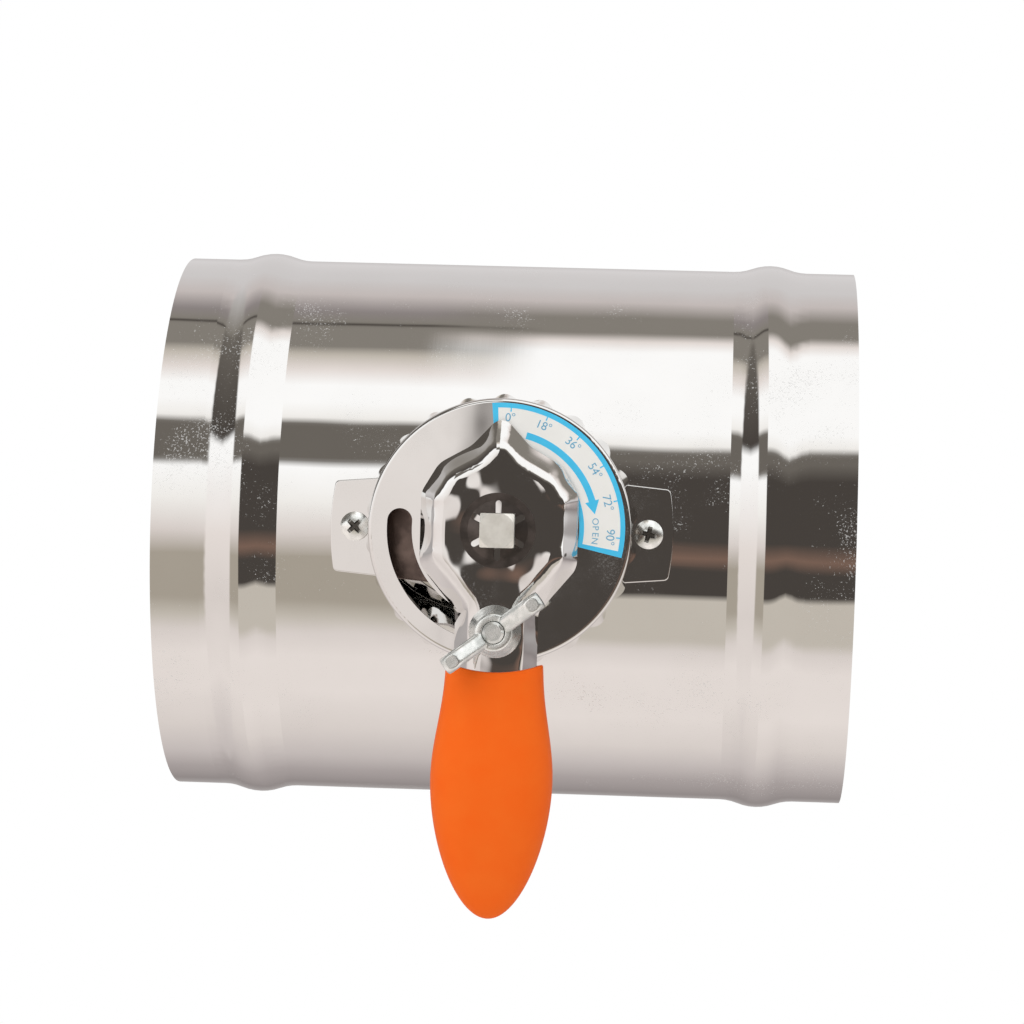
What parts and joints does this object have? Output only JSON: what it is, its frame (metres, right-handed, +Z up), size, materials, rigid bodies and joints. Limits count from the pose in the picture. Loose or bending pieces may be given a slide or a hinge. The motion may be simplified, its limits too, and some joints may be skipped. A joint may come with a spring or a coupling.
{
  "type": "manual duct damper",
  "caption": "Round stainless duct section with beaded ends and an inner blade on a square shaft, turned by a gripped lever over a scaled dial and clamped by a wing nut.",
  "frame": {"origin": "centre of the inlet end's rim, on the duct's axis", "axes": "+X along the duct from inlet to outlet, -Y out of the dial, +Z up, with the lever hanging towards -Z"},
  "size_m": [0.2, 0.2016, 0.1899],
  "materials": {
    "mirror_stainless": "mirror-polished stainless sheet",
    "bright_steel": "bright machined steel",
    "zinc_steel": "zinc-plated steel",
    "dark_spring_steel": "oil-blackened spring steel",
    "nylon": "natural nylon",
    "label_film": "printed vinyl film",
    "orange_plastic": "soft satin plastic"
  },
  "bodies": {
    "duct": {"duct_tube": "mirror_stainless", "mounting_bar": "mirror_stainless", "bar_screw_left": "bright_steel", "bar_screw_right": "bright_steel", "dial_cup": "mirror_stainless", "dial_label": "label_film"},
    "lever": {"lever_plate": "mirror_stainless", "damper_blade": "mirror_stainless", "damper_shaft": "bright_steel", "blade_screw_front": "bright_steel", "blade_screw_middle": "bright_steel", "blade_screw_rear": "bright_steel", "blade_nut_front": "bright_steel", "blade_nut_middle": "bright_steel", "blade_nut_rear": "bright_steel", "rear_washer": "bright_steel", "lever_spacer": "bright_steel", "front_lock_washer": "dark_spring_steel", "rear_lock_washer": "dark_spring_steel", "front_bush": "nylon", "rear_bush": "nylon", "lever_grip": "orange_plastic"},
    "nut": {"wing_nut": "zinc_steel"},
    "bolt": {"clamp_bolt": "zinc_steel"}
  },
  "joints": [
    {"name": "blade_turn", "type": "hinge", "parent": "duct", "child": "lever", "pos_m": [0.1, 0, 0], "axis": [0, 1, 0], "range_deg": [0, 90]},
    {"name": "wing_nut_turn", "type": "hinge", "parent": "lever", "child": "nut", "pos_m": [0.1, 0, -0.028], "axis": [0, -1, 0], "range_deg": [0, 720]},
    {"name": "clamp_bolt_slide", "type": "slide", "parent": "lever", "child": "bolt", "axis": [0, 1, 0], "range_m": [0, 0.002]}
  ],
  "couplings": [
    {"joint": "clamp_bolt_slide", "follows": "wing_nut_turn", "m_per_rad": 0.00015915}
  ]
}
